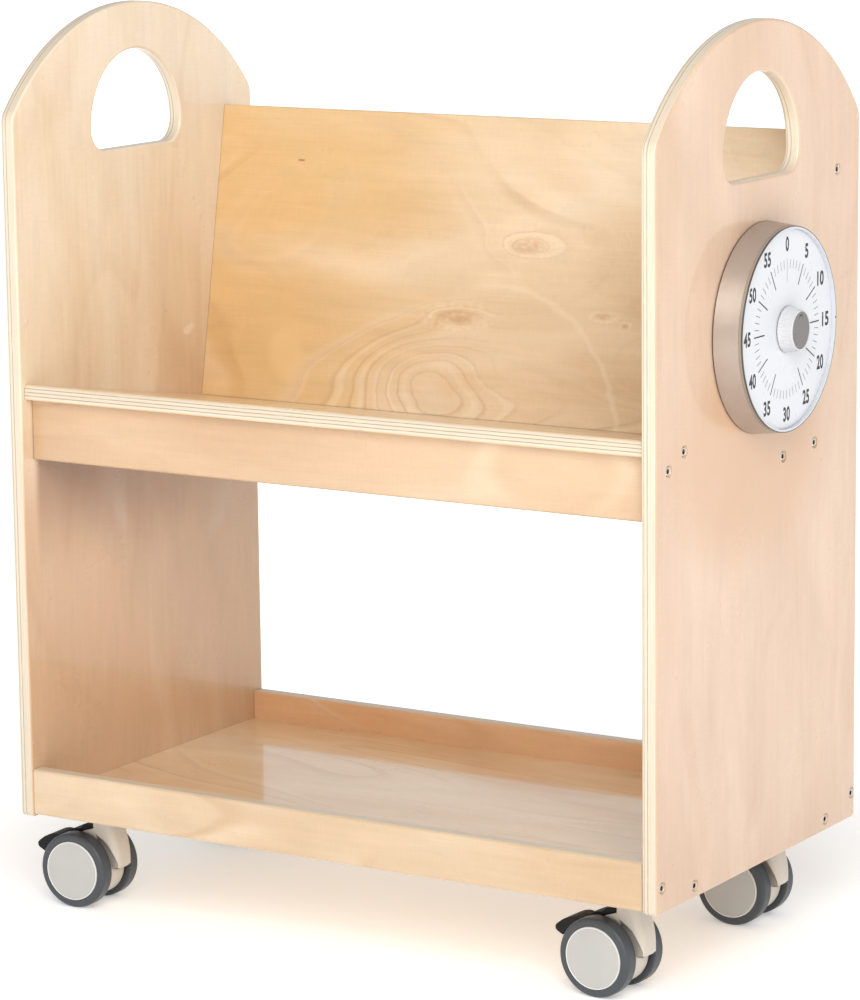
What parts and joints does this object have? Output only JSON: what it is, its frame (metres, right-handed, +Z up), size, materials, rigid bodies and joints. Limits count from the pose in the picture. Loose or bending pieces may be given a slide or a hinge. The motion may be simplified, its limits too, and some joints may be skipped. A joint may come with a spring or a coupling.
{
  "type": "book cart",
  "caption": "Plywood classroom book cart with arched sides, hand holes, a sloping display shelf over an open lower shelf, twin-wheel swivel casters and a dial timer.",
  "frame": {"origin": "on the floor, at the middle of the whole cart's footprint, timer included", "axes": "+X along the cart towards the side panel with the timer, +Y from the open front to the back panel, +Z up"},
  "size_m": [0.772, 0.4, 0.882],
  "materials": {
    "birch_plywood": "clear satin lacquer",
    "dowel_wood": "raw beech",
    "screw_steel": "nickel plated",
    "zinc_steel": "bright zinc plated",
    "caster_housing": "warm light grey nylon",
    "wheel_hub": "light grey nylon",
    "tyre": "dark grey soft tread",
    "brake_pedal": "black nylon",
    "timer_drum": "champagne metallic",
    "timer_bezel": "silver grey",
    "timer_dial": "white",
    "timer_movement": "black moulded case",
    "timer_knob": "pale silver with a finely ribbed side",
    "timer_knob_cap": "dark grey"
  },
  "bodies": {
    "cart_body": {"side_panel_left": "birch_plywood", "side_panel_right": "birch_plywood", "upper_shelf": "birch_plywood", "back_panel": "birch_plywood", "upper_apron": "birch_plywood", "lower_shelf": "birch_plywood", "lower_front_lip": "birch_plywood", "lower_rear_lip": "birch_plywood", "side_screws": "screw_steel", "wooden_dowels": "dowel_wood", "caster_screws": "zinc_steel", "timer_back_plate": "timer_drum", "timer_screws": "zinc_steel", "timer_housing": "timer_drum", "timer_bezel": "timer_bezel", "timer_dial": "timer_dial", "timer_movement": "timer_movement", "front_left_kingpin": "zinc_steel", "front_left_caster_plate": "zinc_steel", "front_left_swivel_bearing": "zinc_steel", "front_right_kingpin": "zinc_steel", "front_right_caster_plate": "zinc_steel", "front_right_swivel_bearing": "zinc_steel", "rear_left_kingpin": "zinc_steel", "rear_left_caster_plate": "zinc_steel", "rear_left_swivel_bearing": "zinc_steel", "rear_right_kingpin": "zinc_steel", "rear_right_caster_plate": "zinc_steel", "rear_right_swivel_bearing": "zinc_steel"},
    "front_left_swivel": {"front_left_housing": "caster_housing", "front_left_axle": "zinc_steel", "front_left_pedal_pin": "zinc_steel"},
    "front_left_wheel_outer": {"front_left_hub_outer": "wheel_hub", "front_left_tyre_outer": "tyre"},
    "front_left_wheel_inner": {"front_left_hub_inner": "wheel_hub", "front_left_tyre_inner": "tyre"},
    "front_left_pedal": {"front_left_brake_pedal": "brake_pedal"},
    "front_right_swivel": {"front_right_housing": "caster_housing", "front_right_axle": "zinc_steel", "front_right_pedal_pin": "zinc_steel"},
    "front_right_wheel_outer": {"front_right_hub_outer": "wheel_hub", "front_right_tyre_outer": "tyre"},
    "front_right_wheel_inner": {"front_right_hub_inner": "wheel_hub", "front_right_tyre_inner": "tyre"},
    "front_right_pedal": {"front_right_brake_pedal": "brake_pedal"},
    "rear_left_swivel": {"rear_left_housing": "caster_housing", "rear_left_axle": "zinc_steel"},
    "rear_left_wheel_outer": {"rear_left_hub_outer": "wheel_hub", "rear_left_tyre_outer": "tyre"},
    "rear_left_wheel_inner": {"rear_left_hub_inner": "wheel_hub", "rear_left_tyre_inner": "tyre"},
    "rear_right_swivel": {"rear_right_housing": "caster_housing", "rear_right_axle": "zinc_steel"},
    "rear_right_wheel_outer": {"rear_right_hub_outer": "wheel_hub", "rear_right_tyre_outer": "tyre"},
    "rear_right_wheel_inner": {"rear_right_hub_inner": "wheel_hub", "rear_right_tyre_inner": "tyre"},
    "timer_knob": {"timer_knob": "timer_knob", "timer_knob_cap": "timer_knob_cap", "timer_spindle": "zinc_steel"}
  },
  "joints": [
    {"name": "front_left_swivel_turn", "type": "hinge", "parent": "cart_body", "child": "front_left_swivel", "pos_m": [-0.30548, -0.133, 0.08], "axis": [0, 0, 1], "continuous": true},
    {"name": "front_left_wheel_outer_spin", "type": "hinge", "parent": "front_left_swivel", "child": "front_left_wheel_outer", "pos_m": [-0.33146, -0.13404, 0.0375], "axis": [-0.0401, 0.9992, 0], "continuous": true},
    {"name": "front_left_wheel_inner_spin", "type": "hinge", "parent": "front_left_swivel", "child": "front_left_wheel_inner", "pos_m": [-0.33146, -0.13404, 0.0375], "axis": [-0.0401, 0.9992, 0], "continuous": true},
    {"name": "front_left_pedal_press", "type": "hinge", "parent": "front_left_swivel", "child": "front_left_pedal", "pos_m": [-0.34545, -0.13461, 0.0625], "axis": [0.0401, -0.9992, 0], "range_deg": [0, 15]},
    {"name": "front_right_swivel_turn", "type": "hinge", "parent": "cart_body", "child": "front_right_swivel", "pos_m": [0.28752, -0.133, 0.08], "axis": [0, 0, 1], "continuous": true},
    {"name": "front_right_wheel_outer_spin", "type": "hinge", "parent": "front_right_swivel", "child": "front_right_wheel_outer", "pos_m": [0.26157, -0.13146, 0.0375], "axis": [0.0593, 0.9982, 0], "continuous": true},
    {"name": "front_right_wheel_inner_spin", "type": "hinge", "parent": "front_right_swivel", "child": "front_right_wheel_inner", "pos_m": [0.26157, -0.13146, 0.0375], "axis": [0.0593, 0.9982, 0], "continuous": true},
    {"name": "front_right_pedal_press", "type": "hinge", "parent": "front_right_swivel", "child": "front_right_pedal", "pos_m": [0.24759, -0.13063, 0.0625], "axis": [-0.0593, -0.9982, 0], "range_deg": [0, 15]},
    {"name": "rear_left_swivel_turn", "type": "hinge", "parent": "cart_body", "child": "rear_left_swivel", "pos_m": [-0.30548, 0.133, 0.08], "axis": [0, 0, 1], "continuous": true},
    {"name": "rear_left_wheel_outer_spin", "type": "hinge", "parent": "rear_left_swivel", "child": "rear_left_wheel_outer", "pos_m": [-0.33147, 0.13232, 0.0375], "axis": [-0.0262, 0.9997, 0], "continuous": true},
    {"name": "rear_left_wheel_inner_spin", "type": "hinge", "parent": "rear_left_swivel", "child": "rear_left_wheel_inner", "pos_m": [-0.33147, 0.13232, 0.0375], "axis": [-0.0262, 0.9997, 0], "continuous": true},
    {"name": "rear_right_swivel_turn", "type": "hinge", "parent": "cart_body", "child": "rear_right_swivel", "pos_m": [0.28752, 0.133, 0.08], "axis": [0, 0, 1], "continuous": true},
    {"name": "rear_right_wheel_outer_spin", "type": "hinge", "parent": "rear_right_swivel", "child": "rear_right_wheel_outer", "pos_m": [0.26152, 0.13345, 0.0375], "axis": [0.0175, 0.9998, 0], "continuous": true},
    {"name": "rear_right_wheel_inner_spin", "type": "hinge", "parent": "rear_right_swivel", "child": "rear_right_wheel_inner", "pos_m": [0.26152, 0.13345, 0.0375], "axis": [0.0175, 0.9998, 0], "continuous": true},
    {"name": "timer_knob_turn", "type": "hinge", "parent": "cart_body", "child": "timer_knob", "pos_m": [0.34602, 0, 0.603], "axis": [-1, 0, 0], "range_deg": [0, 360]}
  ]
}
